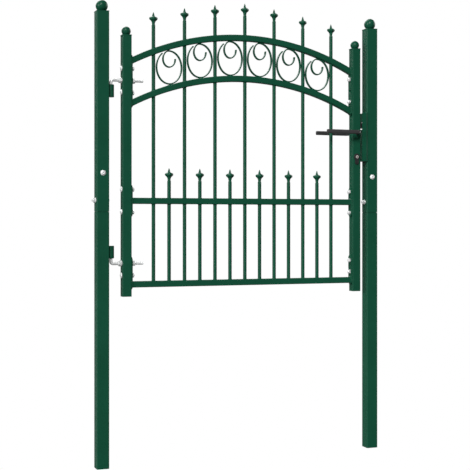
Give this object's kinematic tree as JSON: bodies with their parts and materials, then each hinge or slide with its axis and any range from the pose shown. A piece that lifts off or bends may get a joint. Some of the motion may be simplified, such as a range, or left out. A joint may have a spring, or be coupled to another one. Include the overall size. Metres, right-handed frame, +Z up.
{
  "type": "garden gate",
  "caption": "Single-leaf garden gate with an arched head, round bars with cast points, scrolls between two arched rails, lever lock and two square ground-set posts.",
  "frame": {"origin": "on the line between the two post feet, halfway between the post centres", "axes": "+X along the gate from the hinge post to the lock post, +Y to the back (the side the leaf opens to), +Z up"},
  "size_m": [1.0115, 0.099, 1.511],
  "materials": {
    "green_powder_coat": "satin moss-green powder coat",
    "green_cap": "moulded, slightly glossier than the tubes",
    "zinc": "bright zinc plate",
    "lock_steel": "pressed and plated steel",
    "nickel": "satin nickel plated brass",
    "black_trim": "matt black",
    "black_lever": "black satin powder coat"
  },
  "bodies": {
    "posts": {"left_post_lower": "green_powder_coat", "right_post_lower": "green_powder_coat", "left_post_upper": "green_powder_coat", "right_post_upper": "green_powder_coat", "left_post_spigot": "green_powder_coat", "right_post_spigot": "green_powder_coat", "left_post_cap": "green_cap", "right_post_cap": "green_cap", "splice_bolts": "zinc", "splice_nuts": "zinc", "splice_washers": "zinc", "hinge_barrel_top": "green_powder_coat", "hinge_barrel_bottom": "green_powder_coat", "strike_plate": "green_powder_coat", "strike_lip": "green_powder_coat"},
    "leaf": {"left_stile": "green_powder_coat", "right_stile": "green_powder_coat", "left_end_plates": "green_powder_coat", "right_end_plates": "green_powder_coat", "upper_arch_rail": "green_powder_coat", "lower_arch_rail": "green_powder_coat", "mid_rail": "green_powder_coat", "bottom_rail": "green_powder_coat", "long_bar_1": "green_powder_coat", "long_bar_2": "green_powder_coat", "long_bar_3": "green_powder_coat", "long_bar_4": "green_powder_coat", "long_bar_5": "green_powder_coat", "long_bar_6": "green_powder_coat", "long_bar_7": "green_powder_coat", "short_picket_1": "green_powder_coat", "short_picket_2": "green_powder_coat", "short_picket_3": "green_powder_coat", "short_picket_4": "green_powder_coat", "short_picket_5": "green_powder_coat", "short_picket_6": "green_powder_coat", "finials": "green_powder_coat", "scrolls": "green_powder_coat", "left_stile_cap": "green_cap", "right_stile_cap": "green_cap", "panel_bolts": "zinc", "panel_nuts": "zinc", "hinge_bolt_top": "zinc", "hinge_bolt_bottom": "zinc", "hinge_nuts": "zinc", "hinge_washers": "zinc", "lock_screws": "zinc", "return_spring": "zinc", "lock_case": "lock_steel", "lock_cover": "lock_steel", "lock_forend": "lock_steel", "cylinder_body": "black_trim", "cylinder_escutcheons": "black_trim"},
    "handle": {"lever_front": "black_lever", "lever_rear": "black_lever", "spindle": "lock_steel", "spindle_hub": "lock_steel"},
    "latch": {"latch_bolt": "black_trim"},
    "dead_lock": {"dead_bolt": "lock_steel"},
    "key_barrel": {"key_plug": "nickel"}
  },
  "joints": [
    {"name": "gate_swing", "type": "hinge", "parent": "posts", "child": "leaf", "pos_m": [-0.4475, 0, 0.9], "axis": [0, 0, 1], "range_deg": [0, 100]},
    {"name": "handle_turn", "type": "hinge", "parent": "leaf", "child": "handle", "pos_m": [0.4195, 0, 1.091], "axis": [0, -1, 0], "range_deg": [0, 40], "stiffness_Nm_per_rad": 1.2, "springref_deg": -34.38},
    {"name": "latch_slide", "type": "slide", "parent": "leaf", "child": "latch", "axis": [-1, 0, 0], "range_m": [0, 0.01]},
    {"name": "key_turn", "type": "hinge", "parent": "leaf", "child": "key_barrel", "pos_m": [0.4195, 0, 1.008], "axis": [0, 1, 0], "range_deg": [0, 360]},
    {"name": "dead_bolt_slide", "type": "slide", "parent": "leaf", "child": "dead_lock", "axis": [1, 0, 0], "range_m": [0, 0.0196]}
  ],
  "couplings": [
    {"joint": "latch_slide", "follows": "handle_turn", "m_per_rad": 0.0143},
    {"joint": "dead_bolt_slide", "follows": "key_turn", "m_per_rad": 0.0031}
  ]
}
